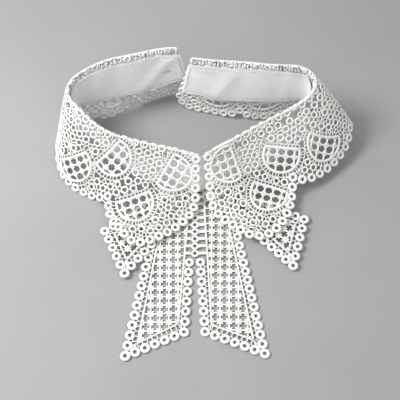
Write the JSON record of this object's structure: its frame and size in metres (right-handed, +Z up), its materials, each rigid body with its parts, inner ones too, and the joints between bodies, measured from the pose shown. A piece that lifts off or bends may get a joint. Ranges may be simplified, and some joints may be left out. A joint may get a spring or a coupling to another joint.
{
  "type": "detachable lace collar",
  "caption": "Detachable collar of white guipure lace: two scalloped leaves turned over a cotton neckband, with a flat lace bow below the front.",
  "frame": {"origin": "middle of the collar in plan, on the surface that it lies on", "axes": "+Z up, +X towards the right in the front view, +Y from the centre front towards the open back"},
  "size_m": [0.1907, 0.1872, 0.0516],
  "materials": {
    "neckband": "plain white woven cotton",
    "collar_leaf_left": "matt off-white embroidered lace",
    "collar_leaf_right": "matt off-white embroidered lace",
    "bow_tail_left": "matt off-white embroidered lace",
    "bow_tail_right": "matt off-white embroidered lace",
    "bow_wing_left": "matt off-white embroidered lace",
    "bow_wing_right": "matt off-white embroidered lace"
  },
  "bodies": {
    "root": {"neckband": "neckband", "collar_leaf_left": "collar_leaf_left", "collar_leaf_right": "collar_leaf_right", "bow_tail_left": "bow_tail_left", "bow_tail_right": "bow_tail_right", "bow_wing_left": "bow_wing_left", "bow_wing_right": "bow_wing_right"}
  },
  "joints": []
}
